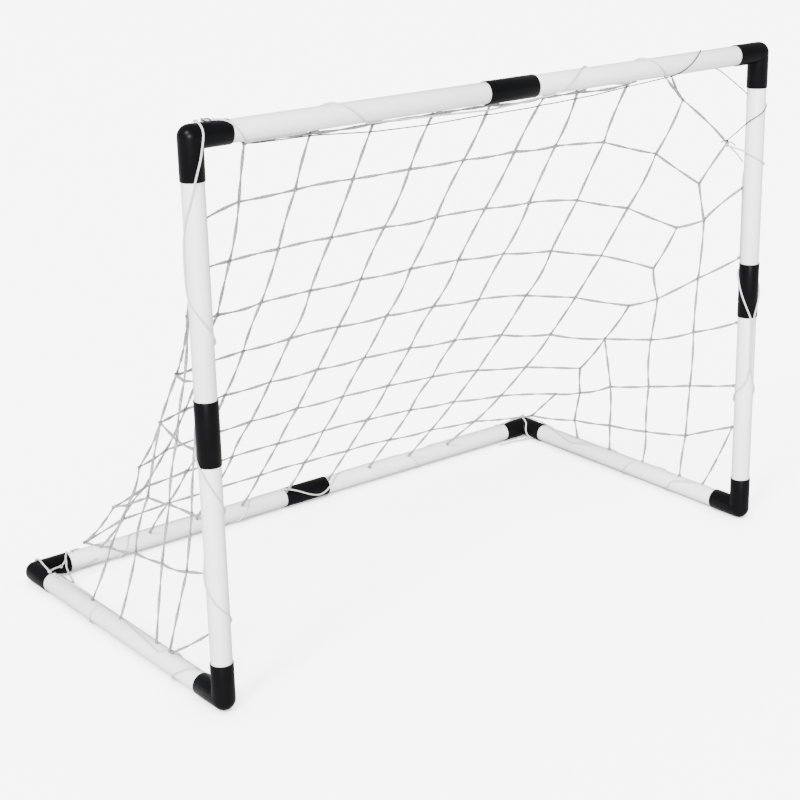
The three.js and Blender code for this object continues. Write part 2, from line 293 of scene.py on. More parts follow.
# the second colour of each cord is its painted groove shade
netTwine = makeCordMaterial("whiteNetTwine", (0.27, 0.27, 0.27), (0.08, 0.08, 0.08), 2.0, 0.007)
lacingCord = makeCordMaterial("whiteLacingCord", (0.58, 0.58, 0.575), (0.26, 0.26, 0.26), 3.0, 0.005)
tieCord = makeCordMaterial("darkTieCord", (0.014, 0.014, 0.015), (0.005, 0.005, 0.006), 3.0, 0.004)
print("finishes made")


# helpers for shaping by hand

closeEnough = 0.00001


def deselectAll():
    if bpy.context.mode != "OBJECT":
        bpy.ops.object.mode_set(mode="OBJECT")
    bpy.ops.object.select_all(action="DESELECT")


def activate(*pieces):
    deselectAll()
    for piece in pieces:
        piece.select_set(True)
    bpy.context.view_layer.objects.active = pieces[0]


def selectEdges(piece, wanted):
    activate(piece)
    bpy.ops.object.mode_set(mode="EDIT")
    bpy.ops.mesh.select_mode(type="EDGE")
    bpy.ops.mesh.select_all(action="DESELECT")
    bpy.ops.object.mode_set(mode="OBJECT")
    vertices = piece.data.vertices
    for edge in piece.data.edges:
        edge.select = all(wanted(vertices[index].co) for index in edge.vertices)
    bpy.ops.object.mode_set(mode="EDIT")


def joined(*pieces):
    activate(*pieces)
    bpy.ops.object.join()
    return bpy.context.object


def tidied(piece, smoothAngle=35):
    activate(piece)
    bpy.ops.object.mode_set(mode="EDIT")
    bpy.ops.mesh.select_all(action="SELECT")
    bpy.ops.mesh.remove_doubles(threshold=closeEnough)
    bpy.ops.mesh.normals_make_consistent(inside=False)
    bpy.ops.object.mode_set(mode="OBJECT")
    bpy.ops.object.shade_smooth_by_angle(angle=math.radians(smoothAngle))
    return piece


def applyPlace(piece):
    activate(piece)
    bpy.ops.object.transform_apply(location=True, rotation=True, scale=True)


def copyPiece(piece, name, matrix):
    copy = piece.copy()
    copy.data = piece.data.copy()
    copy.name = name
    bpy.context.collection.objects.link(copy)
    copy.matrix_world = matrix
    applyPlace(copy)
    return copy


def handIn(piece, name, material, slot, *nodes):
    piece.name = name
    piece.data.materials.clear()
    piece.data.materials.append(material)
    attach(piece, "root")
    if nodes:
        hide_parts(*nodes)


# the frame: sizes of the tube and its connectors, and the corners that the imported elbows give
frameSizes = {
    "tubeRadius": 0.0125,
    "tubeWall": 0.0015,
    "connectorRadius": 0.0136,
    "socketRadius": 0.0128,
    "socketGap": 0.0003,
    "elbowLeg": 0.045,
    "elbowStop": 0.014,
    "couplerLength": 0.074,
    "couplerRing": 0.004,
    "sides": 64,
    "sleeveSides": 48,
    "tubeChamfer": 0.0003,
    "mouthRound": 0.0003,
    "creaseStart": 0.0025,
    "creaseRound": 0.0016,
    "gateRadius": 0.0019,
    "gateRidge": 0.00016,
    "gateFromCorner": 0.004,
    "gateFromMiddle": 0.012,
}
tubeRadius, connectorRadius = frameSizes["tubeRadius"], frameSizes["connectorRadius"]
frontLeftLow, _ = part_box("front_left_elbow")
_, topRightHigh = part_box("top_right_elbow")
_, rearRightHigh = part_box("rear_right_elbow")
rightX, highZ = topRightHigh.x - connectorRadius, topRightHigh.z - connectorRadius
frontY, lowZ = frontLeftLow.y + connectorRadius, frontLeftLow.z + connectorRadius
backY = rearRightHigh.y - connectorRadius

corners = {
    "top_left": Vector((-rightX, frontY, highZ)),
    "top_right": Vector((rightX, frontY, highZ)),
    "front_left": Vector((-rightX, frontY, lowZ)),
    "front_right": Vector((rightX, frontY, lowZ)),
    "rear_left": Vector((-rightX, backY, lowZ)),
    "rear_right": Vector((rightX, backY, lowZ)),
}

# degrees round a member are counted from netSide towards quarter
members = {
    "crossbar": ("top_left", "top_right", down, ahead, ("crossbar_tube_left", "crossbar_tube_right")),
    "left_post": ("front_left", "top_left", back, left, ("left_post_tube_lower", "left_post_tube_upper")),
    "right_post": (
        "front_right", "top_right", back, left, ("right_post_tube_lower", "right_post_tube_upper"),
    ),
    "rear_bar": ("rear_left", "rear_right", up, ahead, ("rear_bar_tube_left", "rear_bar_tube_right")),
    "left_base": ("front_left", "rear_left", up, left, ("left_base_tube",)),
    "right_base": ("front_right", "rear_right", up, left, ("right_base_tube",)),
}


class Member:
    def __init__(self, name, start, finish, netSide, quarter, tubes):
        self.name, self.netSide, self.quarter, self.tubes = name, netSide, quarter, tubes
        self.start = corners[start]
        self.span = (corners[finish] - self.start).length
        self.direction = (corners[finish] - self.start).normalized()
        leg = frameSizes["elbowLeg"]
        self.sleeves = [(0, leg), (self.span - leg, self.span)]
        if len(tubes) == 2:
            half = frameSizes["couplerLength"] / 2
            self.sleeves.append((self.span / 2 - half, self.span / 2 + half))

    def surface(self, distance):
        onSleeve = any(low <= distance <= high for low, high in self.sleeves)
        return connectorRadius if onSleeve else tubeRadius

    def outward(self, degrees):
        angle = math.radians(degrees)
        return self.netSide * math.cos(angle) + self.quarter * math.sin(angle)

    def place(self, distance, degrees=0.0, above=0.0):
        foot = self.start + self.direction * distance
        return foot + self.outward(degrees) * (self.surface(distance) + above)


members = {name: Member(name, *facts) for name, facts in members.items()}


# a tube: an open cylinder given its wall and lightly chamfered ends
def makeTube(start, direction, low, high):
    s = frameSizes
    turn = Vector((0, 0, 1)).rotation_difference(direction).to_euler()
    deselectAll()
    bpy.ops.mesh.primitive_cylinder_add(
        vertices=s["sides"], radius=s["tubeRadius"], depth=high - low, end_fill_type="NOTHING",
        location=start + direction * (low + high) / 2, rotation=turn,
    )
    tube = bpy.context.object
    wall = tube.modifiers.new("wall", "SOLIDIFY")
    wall.thickness = s["tubeWall"]
    wall.offset = -1
    chamfer = tube.modifiers.new("chamfer", "BEVEL")
    chamfer.width = s["tubeChamfer"]
    chamfer.segments = 2
    chamfer.limit_method = "ANGLE"
    chamfer.angle_limit = math.radians(60)
    bpy.ops.object.modifier_apply(modifier="wall")
    bpy.ops.object.modifier_apply(modifier="chamfer")
    applyPlace(tube)
    bpy.ops.object.shade_smooth_by_angle(angle=math.radians(35))
    return tube


def makeTubes():
    s = frameSizes
    fromCorner = s["elbowStop"] + s["socketGap"]
    fromMiddle = s["couplerRing"] / 2 + s["socketGap"]
    for member in members.values():
        ends = [(fromCorner, member.span - fromCorner)]
        if len(member.tubes) == 2:
            middle = member.span / 2
            ends = [(fromCorner, middle - fromMiddle), (middle + fromMiddle, member.span - fromCorner)]
        for node, (low, high) in zip(member.tubes, ends):
            tube = makeTube(member.start, member.direction, low, high)
            handIn(tube, f"{node}_round", tubePlastic, "white_tube", node)


makeTubes()
print("tubes made")


# a socket: the open end of a sleeve is turned in to the bore, taken down to the stop and closed
def sinkSocket(piece, axis, mouth, stop):
    s = frameSizes
    narrowed = s["socketRadius"] / s["connectorRadius"]
    selectEdges(piece, lambda co: abs(co[axis] - mouth) < closeEnough)
    factors = [narrowed] * 3
    factors[axis] = 1
    centre = [0, 0, 0]
    centre[axis] = mouth
    bpy.ops.mesh.extrude_edges_move(TRANSFORM_OT_translate={"value": (0, 0, 0)})
    bpy.ops.transform.resize(value=factors, center_override=centre)
    inward = [0, 0, 0]
    inward[axis] = stop - mouth
    bpy.ops.mesh.extrude_edges_move(TRANSFORM_OT_translate={"value": inward})
    bpy.ops.mesh.edge_face_add()
    bpy.ops.object.mode_set(mode="OBJECT")


def roundMouth(piece, axis, mouth):
    selectEdges(piece, lambda co: abs(co[axis] - mouth) < closeEnough)
    bpy.ops.mesh.bevel(offset=frameSizes["mouthRound"], segments=3, affect="EDGES")
    bpy.ops.object.mode_set(mode="OBJECT")


def addGateMark(piece, place, normal):
    turn = Vector((0, 0, 1)).rotation_difference(normal).to_euler()
    deselectAll()
    bpy.ops.mesh.primitive_torus_add(
        major_segments=24, minor_segments=6,
        major_radius=frameSizes["gateRadius"], minor_radius=frameSizes["gateRidge"],
        location=place, rotation=turn,
    )
    ring = bpy.context.object
    applyPlace(ring)
    return joined(piece, ring)


def sleeveEnd(axisLength, turn, centre):
    deselectAll()
    bpy.ops.mesh.primitive_cylinder_add(
        vertices=frameSizes["sleeveSides"], radius=connectorRadius, depth=axisLength, end_fill_type="NOTHING",
        location=centre, rotation=turn,
    )
    piece = bpy.context.object
    applyPlace(piece)
    return piece


# the elbow's legs run along +X and +Y from its corner
def makeElbow():
    s = frameSizes
    leg, stop = s["elbowLeg"], s["elbowStop"]
    first = sleeveEnd(leg, (0, math.pi / 2, 0), (leg / 2, 0, 0))
    bpy.ops.object.mode_set(mode="EDIT")
    bpy.ops.mesh.select_all(action="SELECT")
    bpy.ops.mesh.bisect(plane_co=(0, 0, 0), plane_no=(1, -1, 0), clear_inner=True, threshold=0.000001)
    bpy.ops.object.mode_set(mode="OBJECT")
    second = first.copy()
    second.data = first.data.copy()
    bpy.context.collection.objects.link(second)
    for vertex in second.data.vertices:
        vertex.co.x, vertex.co.y = vertex.co.y, vertex.co.x
    deselectAll()
    bpy.ops.mesh.primitive_uv_sphere_add(
        segments=s["sleeveSides"], ring_count=s["sleeveSides"] // 2, radius=connectorRadius,
    )
    heel = bpy.context.object
    bpy.ops.object.mode_set(mode="EDIT")
    for normal in ((1, 0, 0), (0, 1, 0)):
        bpy.ops.mesh.select_all(action="SELECT")
        bpy.ops.mesh.bisect(plane_co=(0, 0, 0), plane_no=normal, clear_outer=True, threshold=0.000001)
    bpy.ops.object.mode_set(mode="OBJECT")
    elbow = tidied(joined(first, second, heel))
    selectEdges(elbow, lambda co: abs(co.x - co.y) < closeEnough and co.x > s["creaseStart"])
    bpy.ops.mesh.bevel(offset=s["creaseRound"], segments=4, affect="EDGES")
    bpy.ops.object.mode_set(mode="OBJECT")
    for axis in (0, 1):
        sinkSocket(elbow, axis, leg, stop)
    for axis in (0, 1):
        roundMouth(elbow, axis, leg)
    for side in (1, -1):
        place = (s["gateFromCorner"], 0, side * connectorRadius)
        elbow = addGateMark(elbow, place, Vector((0, 0, side)))
    return tidied(elbow)


elbowLegs = {
    "top_left": (right, down),
    "top_right": (left, down),
    "front_left": (up, back),
    "front_right": (up, back),
    "rear_left": (right, ahead),
    "rear_right": (left, ahead),
}


# what would reach into the ground is pressed flat on it
def pressOnGround(piece, lowest):
    for vertex in piece.data.vertices:
        vertex.co.z = max(vertex.co.z, lowest)


def makeElbows():
    pattern = makeElbow()
    for place, (firstLeg, secondLeg) in elbowLegs.items():
        turn = Matrix((firstLeg, secondLeg, firstLeg.cross(secondLeg))).transposed()
        node = f"{place}_elbow"
        elbow = copyPiece(pattern, f"{node}_moulded", Matrix.Translation(corners[place]) @ turn.to_4x4())
        pressOnGround(elbow, 0.0)
        handIn(elbow, f"{node}_moulded", connectorPlastic, "black_plastic", node)
    bpy.data.objects.remove(pattern)


def makeCouplers():
    half, ring = frameSizes["couplerLength"] / 2, frameSizes["couplerRing"] / 2
    pattern = sleeveEnd(2 * half, (0, math.pi / 2, 0), (0, 0, 0))
    for side in (1, -1):
        sinkSocket(pattern, 0, side * half, side * ring)
    for side in (1, -1):
        roundMouth(pattern, 0, side * half)
    place = (frameSizes["gateFromMiddle"], -connectorRadius, 0)
    pattern = tidied(addGateMark(pattern, place, ahead.copy()))
    for member in members.values():
        if len(member.tubes) == 1:
            continue
        node = f"{member.name}_coupler"
        third = member.direction.cross(member.netSide)
        turn = Matrix((member.direction, member.netSide, third)).transposed()
        centre = member.start + member.direction * member.span / 2
        coupler = copyPiece(pattern, f"{node}_moulded", Matrix.Translation(centre) @ turn.to_4x4())
        pressOnGround(coupler, 0.0)
        handIn(coupler, f"{node}_moulded", connectorPlastic, "black_plastic", node)
    bpy.data.objects.remove(pattern)


makeElbows()
makeCouplers()
print("connectors made")


# cordage: every cord is a round tube swept along points, with its own map
class Cordage:
    def __init__(self):
        self.vertices, self.faces, self.maps = [], [], []

    # a twine of two plies is wide and thin, grooved down its middle, and slowly turned; a cord is round
    def sweep(self, points, radius, sides, twine=None):
        points = [Vector(point) for point in points]
        wide, thin, groove, lay, phase = twine or (1, 1, 0, 1, 0)
        count = len(points)
        tangents = [
            (points[min(i + 1, count - 1)] - points[max(i - 1, 0)]).normalized() for i in range(count)
        ]
        normal = tangents[0].orthogonal().normalized()
        first = len(self.vertices)
        travelled, lengths = 0.0, []
        for i, (point, tangent) in enumerate(zip(points, tangents)):
            normal = (normal - tangent * normal.dot(tangent)).normalized()
            binormal = tangent.cross(normal)
            if i:
                travelled += (point - points[i - 1]).length
            lengths.append(travelled)
            turned = phase + fullTurn * travelled / lay
            across = normal * math.cos(turned) + binormal * math.sin(turned)
            through = binormal * math.cos(turned) - normal * math.sin(turned)
            for k in range(sides):
                angle = fullTurn * k / sides
                pinch = 1 - groove * math.exp(-(math.cos(angle) / 0.35) ** 2)
                offset = across * wide * math.cos(angle) + through * thin * pinch * math.sin(angle)
                self.vertices.append(point + offset * radius)
        for i in range(count - 1):
            for k in range(sides):
                following = (k + 1) % sides
                near, far = first + i * sides, first + (i + 1) * sides
                self.faces.append((near + k, near + following, far + following, far + k))
                u, nextU = k / sides, (k + 1) / sides
                v, nextV = lengths[i], lengths[i + 1]
                self.maps.append(((u, v), (nextU, v), (nextU, nextV), (u, nextV)))
        last = first + (count - 1) * sides
        self.faces.append(tuple(first + k for k in reversed(range(sides))))
        self.faces.append(tuple(last + k for k in range(sides)))
        self.maps += [((0, 0),) * sides] * 2

    def stamp(self, pattern, matrix):
        first = len(self.vertices)
        self.vertices += [matrix @ vertex for vertex in pattern["vertices"]]
        self.faces += [tuple(first + index for index in face) for face in pattern["faces"]]
        self.maps += pattern["maps"]

    def finished(self, name):
        mesh = bpy.data.meshes.new(name)
        mesh.from_pydata(self.vertices, [], self.faces)
        layer = mesh.uv_layers.new(name="cordMap")
        flat = [number for face in self.maps for pair in face for number in pair]
        layer.data.foreach_set("uv", flat)
        mesh.shade_smooth()
        piece = bpy.data.objects.new(name, mesh)
        bpy.context.collection.objects.link(piece)
        return piece


# the knot's pattern, one unit across: a pinched core, a collar round it and a loop through it
def makeKnotPattern():
    knot = Cordage()
    core = [(-0.42, 0, 0), (-0.2, 0.05, 0.03), (0, 0, 0.06), (0.2, -0.05, 0.03), (0.42, 0, 0)]
    knot.sweep(core, 0.26, 6)
    turns = 7
    for radius, tilt, thick in ((0.28, 0.35, 0.19), (0.26, 1.9, 0.18)):
        ring = []
        for k in range(turns + 1):
            angle = fullTurn * k / turns
            point = Vector((0.06 * math.sin(2 * angle), radius * math.cos(angle), radius * math.sin(angle)))
            ring.append(Matrix.Rotation(tilt, 3, "Z") @ point)
        knot.sweep(ring, thick, 5)
    return {"vertices": knot.vertices, "faces": knot.faces, "maps": knot.maps}


knotPattern = makeKnotPattern()
chance = random.Random(11)


def tieKnot(cordage, place, size):
    axis = Vector((chance.uniform(-1, 1), chance.uniform(-1, 1), chance.uniform(-1, 1))).normalized()
    turn = Vector((1, 0, 0)).rotation_difference(axis).to_matrix().to_4x4()
    spin = Matrix.Rotation(chance.uniform(0, fullTurn), 4, "X")
    cordage.stamp(knotPattern, Matrix.Translation(place) @ turn @ spin @ Matrix.Scale(size, 4))


# the net: a back sheet of square meshes, drawn forward along two folds to a wedge of meshes on each side
netSettings = {
    "twineRadius": 0.0016,
    "twineWide": 1.25,
    "twineThin": 0.8,
    "twineGroove": 0.45,
    "twineLay": 0.09,
    "knotSize": 0.0056,
    "rows": 9,
    "columns": 9,
    "topFirst": 0.072,
    "topPitch": 0.084,
    "bunchedFrom": 6,
    "bunchedBy": 0.030,
    "footFirst": 0.092,
    "footLast": 0.688,
    "footDegrees": 35,
    "dropBelowBar": 0.022,
    "lastKnotAlong": 0.756,
    "lastKnotDown": 0.067,
    "lastKnotTies": ((0.678, 20), (0.692, 5)),
    "loopSlip": 0.002,
    "loopRise": 0.0005,
    "knotWeight": 0.0013,
    "rowPull": 0.20,
    "firstMesh": 78,
    "upperMesh": 89,
    "lowerMesh": 77,
    "bow": 0.0024,
    "sides": 12,
    "steps": 7,
}

# a fold's knots are spread over these fractions of its length, from the crossbar's end to the rear corner,
# and crowding above 1 draws them up towards the crossbar
sideSettings = {
    1: {
        "foldForward": 0.105,
        "foldFoot": 0.0085,
        "foldInward": 0.070,
        "foldFirst": 0.15,
        "foldLast": 0.98,
        "foldCrowding": 1.0,
        "postAt": (0.455, 0.36, 0.27, 0.18, 0.12),
        "baseAt": (0.115, 0.19, 0.26, 0.33),
        "braceAt": (0.12, 0.07),
        "innerDegrees": 50,
        "basePull": 1.5,
        "hanging": (),
    },
    -1: {
        "foldForward": 0.092,
        "foldFoot": 0.045,
        "foldInward": 0.005,
        "foldFirst": 0.06,
        "foldLast": 0.95,
        "foldCrowding": 1.2,
        "postAt": (0.445, 0.36, 0.28, 0.20, 0.145),
        "baseAt": (0.115, 0.145, 0.23, 0.30),
        "braceAt": (0.085, 0.11),
        "innerDegrees": -50,
        "basePull": 0.75,
        "hanging": ("f3", "f4", "f5"),
    },
}


def mixed(first, second, part):
    return first + (second - first) * part


class Net:
    def __init__(self):
        self.places, self.pinned, self.strands = {}, set(), []

    def pin(self, knot, place):
        self.places[knot] = Vector(place)
        self.pinned.add(knot)

    def tie(self, *knots, pull=1.0):
        for first, second in zip(knots, knots[1:]):
            self.strands.append((first, second, pull))

    # every free knot comes to rest where its strands' pulls and its weight balance
    def settle(self, rounds=500):
        neighbours = {}
        for first, second, pull in self.strands:
            neighbours.setdefault(first, []).append((second, pull))
            neighbours.setdefault(second, []).append((first, pull))
        for knot in neighbours:
            self.places.setdefault(knot, Vector((0, 0, highZ / 2)))
        free = [knot for knot in neighbours if knot not in self.pinned]
        for _ in range(rounds):
            for knot in free:
                total = Vector((0, 0, -netSettings["knotWeight"]))
                weight = 0.0
                for other, pull in neighbours[knot]:
                    total += self.places[other] * pull
                    weight += pull
                self.places[knot] = total / weight


def foldPlace(side, fraction):
    s = sideSettings[side]
    start = Vector((side * (rightX - 0.0085), frontY + 0.010, highZ - 0.017))
    end = Vector((side * (rightX - s["foldFoot"]), backY - 0.017, lowZ + 0.017))
    bowed = 4 * fraction * (1 - fraction)
    inward = Vector((-side * s["foldInward"] * bowed, -s["foldForward"] * bowed, 0))
    return start.lerp(end, fraction) + inward


# the meshes hang one pitch apart along the crossbar, and the lacing bunches one of them together
def topAlong(column):
    s = netSettings
    bunched = s["bunchedBy"] if column >= s["bunchedFrom"] else 0.0
    return s["topFirst"] + s["topPitch"] * column - bunched


def footAlong(column):
    s = netSettings
    return mixed(s["footFirst"], s["footLast"], column / (s["columns"] - 1))


# the first row is laced up short, and below it the net's weight stretches the upper meshes the most; only
# the ratios of these heights are used
def meshHeight(row):
    s = netSettings
    if row == 0:
        return s["firstMesh"]
    return mixed(s["upperMesh"], s["lowerMesh"], (row - 1) / (s["rows"] - 2))


def hangBackSheet(net):
    s = netSettings
    columns, rows = s["columns"], s["rows"]
    bar, rearBar = members["crossbar"], members["rear_bar"]
    slope = (corners["rear_left"] - corners["top_left"]).normalized()
    for column in range(columns - 1):
        net.pin((0, column), bar.start + right * topAlong(column) + slope * s["dropBelowBar"])
    lastKnot = bar.start + right * s["lastKnotAlong"] + slope * s["lastKnotDown"]
    net.pin((0, columns - 1), lastKnot)
    for column in range(columns):
        net.pin((rows, column), rearBar.place(footAlong(column), s["footDegrees"], s["twineRadius"]))
        for row in range(rows):
            net.tie((row, column), (row + 1, column), pull=s["lowerMesh"] / meshHeight(row))
    for row in range(rows):
        net.tie(*((row, column) for column in range(columns - (row == 0))), pull=s["rowPull"])


knotInFromPost, knotBehindPost, knotHeight, knotGap = 0.031, 0.020, 0.530, 0.003
cornerKnot = Vector((rightX - knotInFromPost, frontY + knotBehindPost, knotHeight))


def hangSide(net, side):
    s, t = netSettings, sideSettings[side]
    name = "right" if side == 1 else "left"
    post, base = members[f"{name}_post"], members[f"{name}_base"]
    lastColumn = s["columns"] - 1 if side == 1 else 0
    for row in range(s["rows"]):
        along = (row / (s["rows"] - 1)) ** t["foldCrowding"]
        net.pin((name, f"f{row + 1}"), foldPlace(side, mixed(t["foldFirst"], t["foldLast"], along)))
    if side == 1:
        net.pin((name, "f1"), cornerKnot)
    foldNames = ["f1", "f2", "a0", "f3", "f4", "b0", "f5", "f6", "f7", "d0", "f8", "f9"]
    net.tie(*((name, knot) for knot in foldNames))
    for row in range(s["rows"]):
        if side == 1 or row > 0:
            net.tie((row, lastColumn), (name, f"f{row + 1}"), pull=s["rowPull"])
    for letter, along in zip("abcde", t["postAt"]):
        net.pin((name, f"{letter}Post"), post.place(along, t["innerDegrees"], s["twineRadius"]))
    for number, along in enumerate(t["baseAt"], 1):
        net.pin((name, f"base{number}"), base.place(along, 0, s["twineRadius"]))
    rows = [
        ("a0", "aPost"), ("b0", "b1", "bPost"), ("f6", "c1", "c2", "cPost"),
        ("d0", "d1", "d2", "d3", "dPost"), ("f9", "e1", "e2", "e3", "e4", "ePost"),
        ("a0", "b1", "c2", "d3", "e4"), ("b0", "c1", "d2", "e3"), ("f6", "d1", "e2"), ("d0", "e1"),
    ]
    for row in rows:
        net.tie(*((name, knot) for knot in row))
    for lowest, tied in (("e4", "base1"), ("e3", "base2"), ("e2", "base3"), ("e1", "base4")):
        net.tie((name, lowest), (name, tied), pull=t["basePull"])
    if t["hanging"]:
        net.pin((name, "hangPost"), post.place(t["postAt"][0], -t["innerDegrees"], s["twineRadius"]))
    for knot in t["hanging"]:
        net.tie((name, "hangPost"), (name, knot))
    net.pin((name, "brace"), base.place(t["braceAt"][1], 0, s["twineRadius"]))
    net.pin((name, "braceTop"), post.place(t["braceAt"][0], t["innerDegrees"], s["twineRadius"]))
    net.tie((name, "braceTop"), (name, "brace"))


def strandPoints(start, end):
    s = netSettings
    span = (end - start).length
    bow = Vector((chance.uniform(-1, 1), chance.uniform(-1, 1), chance.uniform(-1, 0.4))) * s["bow"]
    lean = chance.uniform(0.35, 0.65)
    points = []
    for k in range(s["steps"] + 1):
        part = k / s["steps"]
        bulge = 4 * part * (1 - part) * (1 + (lean - 0.5) * (2 * part - 1)) * min(span / 0.08, 1)
        points.append(start.lerp(end, part) + bow * bulge)
    return points


def sweepTwine(cordage, points):
    s = netSettings
    section = (s["twineWide"], s["twineThin"], s["twineGroove"], s["twineLay"], chance.uniform(0, fullTurn))
    cordage.sweep(points, s["twineRadius"], s["sides"], section)


def makeNet():
    s = netSettings
    net = Net()
    hangBackSheet(net)
    for side in (1, -1):
        hangSide(net, side)
    net.settle()
    cordage = Cordage()
    for first, second, _ in net.strands:
        sweepTwine(cordage, strandPoints(net.places[first], net.places[second]))
    for knot, place in net.places.items():
        tieKnot(cordage, place, s["knotSize"])
    bar = members["crossbar"]
    for column in range(s["columns"] - 1):
        loop = bar.place(topAlong(column) + s["loopSlip"], 0, s["loopRise"])
        sweepTwine(cordage, [loop, net.places[(0, column)]])
    corner = net.places[(0, s["columns"] - 1)]
    for along, degrees in s["lastKnotTies"]:
        start = bar.place(along, degrees, s["loopRise"])
        sweepTwine(cordage, strandPoints(start, corner))
    nodes = ["net_back_upper", "net_back_lower"]
    for side in ("left", "right"):
        for panel in ("corner_upper", "corner_lower", "side_front", "side_rear"):
            nodes.append(f"net_{side}_{panel}")
    piece = cordage.finished("knotted_net")
    handIn(piece, "knotted_net", netTwine, "net_twine", *nodes)
    print("net made with", len(net.places), "knots and", len(net.strands), "strands")
    return net


net = makeNet()


# the lacing: a stop is a member, mm along it, degrees round it and any extra height in mm, or a free point
# where the cord crosses open air
laceSettings = {
    "radius": 0.0011,
    "tieRadius": 0.00075,
    "step": 0.003,
    "sides": 10,
    "easing": 8,
    "knotSize": 0.0058,
    "groundGap": 0.00005,
}
aboveKnot = cornerKnot + up * knotGap
belowKnot = cornerKnot + down * knotGap

laces = {
    "crossbar_lace": [
        ("crossbar", 16, 180), ("crossbar", 38, 165), ("crossbar", 52, 90), ("crossbar", 65, 5),
        ("crossbar", 143, 0), ("crossbar", 176, -180), ("crossbar", 225, -360),
        ("crossbar", 305, -360, 3), ("crossbar", 384, -360, 6),
        ("crossbar", 477, -360, 1), ("crossbar", 544, -180), ("crossbar", 606, 0), ("crossbar", 624, 0),
        ("crossbar", 641, -180), ("crossbar", 674, -316),
    ],
    "top_tie_cord": [
        ("crossbar", 24, 190), ("crossbar", 42, 270), ("crossbar", 60, 330, 1.8), ("crossbar", 70, 362, 2.6),
        ("crossbar", 82, 374, 2.6), ("crossbar", 150, 374, 4), ("crossbar", 225, 374, 10),
        ("crossbar", 305, 374, 12),
        ("crossbar", 420, 374, 10), ("crossbar", 490, 374, 10), ("crossbar", 560, 374, 8),
        ("crossbar", 618, 374, 4), ("crossbar", 692, 390, 0.5), ("crossbar", 746, 540, 0.5),
        ("crossbar", 779, 720, 0.5), ("right_post", 581, 49), ("right_post", 566, -131),
        ("right_post", 540, -300), aboveKnot,
    ],
    "left_post_lace": [
        ("crossbar", 8, 180), ("crossbar", 8, 110, 0.8), ("left_post", 612, 188, 0.8),
        ("left_post", 600, 172), ("left_post", 590, 159), ("left_post", 575, 146), ("left_post", 548, 105),
        ("left_post", 531, 85), ("left_post", 500, 60), ("left_post", 474, 70), ("left_post", 463, 98),
        ("left_post", 418, 229), ("left_post", 395, 360), ("left_post", 310, 360),
        ("left_post", 281, 458), ("left_post", 239, 550), ("left_post", 195, 720), ("left_post", 185, 720),
        ("left_post", 153, 769), ("left_post", 115, 877), ("left_post", 75, 1050),
    ],
    "right_post_lace": [
        belowKnot, ("right_post", 505, 90), ("right_post", 486, 229), ("right_post", 478, 380),
        ("right_post", 360, 380),
    ],
    "right_post_tie": [
        ("right_post", 158, 20), ("right_post", 186, 134), ("right_post", 202, 157),
        ("right_post", 277, 157), ("right_post", 340, 49), ("right_post", 350, -50),
        ("right_post", 316, -131), ("right_post", 288, -185), ("right_post", 272, -194),
        ("right_post", 202, -194), ("right_post", 190, -180), ("right_post", 162, -100),
    ],
    "rear_bar_lace": [
        ("rear_bar", 52, 360), ("rear_bar", 113, 180), ("rear_bar", 137, 0), ("rear_bar", 266, 0),
        ("rear_bar", 300, -180), ("rear_bar", 332, -360), ("rear_bar", 384, -360), ("rear_bar", 426, -270),
        ("rear_bar", 448, -240), ("rear_bar", 469, -300), ("rear_bar", 487, -360), ("rear_bar", 606, -360),
        ("rear_bar", 640, -180), ("rear_bar", 672, 0), ("rear_bar", 795, 0),
    ],
    "left_base_lace": [
        ("left_base", 55, 0), ("left_base", 95, 120), ("left_base", 121, 400), ("left_base", 229, 360),
        ("left_base", 278, 360), ("left_base", 287, 480), ("left_base", 334, 680), ("left_base", 400, 720),
    ],
    "right_base_lace": [
        ("right_base", 70, 0), ("right_base", 120, 60), ("right_base", 160, 360), ("right_base", 197, 360),
        ("right_base", 240, 600), ("right_base", 265, 720), ("right_base", 334, 780),
        ("right_base", 400, 720),
    ],
}


# short cords tied at a corner, as distances in mm from it: in along the crossbar or rear bar, forward and up
shortCords = (
    ("left_base_lace", "rear_left", 1, (
        ((8, -13, 10), (6, -2, 15), (2, 20, 15.5), (-2, 44, 15.5)),
        ((-2, 44, 15.5), (8, 38, 15), (20, 32, 12)),
        ((20, 32, 12), (30, 24, 13.5), (38, 12, 14.5), (46, -2, 14.5)),
        ((0, 56, 14.8), (18, 50, 8), (48, 30, 1), (82, 14, -1)),
        ((0, 62, 14.8), (14, 60, 4), (26, 52, -6), (34, 30, -9), (36, 14, 2), (40, 6, 12.5)),
    )),
    ("right_base_lace", "rear_right", -1, (
        ((-2, -6, 15), (12, -3, 15.2), (30, -1, 15.2), (47, 3, 14.8)),
        ((4, -4, 15.2), (7, 6, 15), (9, 16, 9), (9, 22, -4), (9, 27, -11)),
        ((9, 27, -11), (34, 20, -12.2), (66, 17, -12.2)),
        ((-3, 6, 15.2), (-1, 22, 15.6), (-6, 30, 14.5), (-2, 46, 15), (0, 66, 14.4)),
    )),
    ("right_post_lace", "front_right", -1, (
        ((31, -20, 515), (20, -15, 504), (8, -12, 490)),
    )),
    ("top_tie_cord", "front_right", -1, (
        ((31, -20, 518), (26, -17, 517), (22, -13, 513)),
        ((31, -20, 518), (35, -23, 519), (38, -24, 517)),
    )),
    ("top_tie_cord", "top_left", 1, (
        ((16, -2, 15.5), (13, 5, 16), (18, 9, 14), (22, 3, 16.2), (16, -2, 15.9)),
    )),
)


def tiePoints(corner, inward, points):
    offsets = [Vector((inward * aside, -forward, height)) / 1000 for aside, forward, height in points]
    return [corners[corner] + offset for offset in offsets]


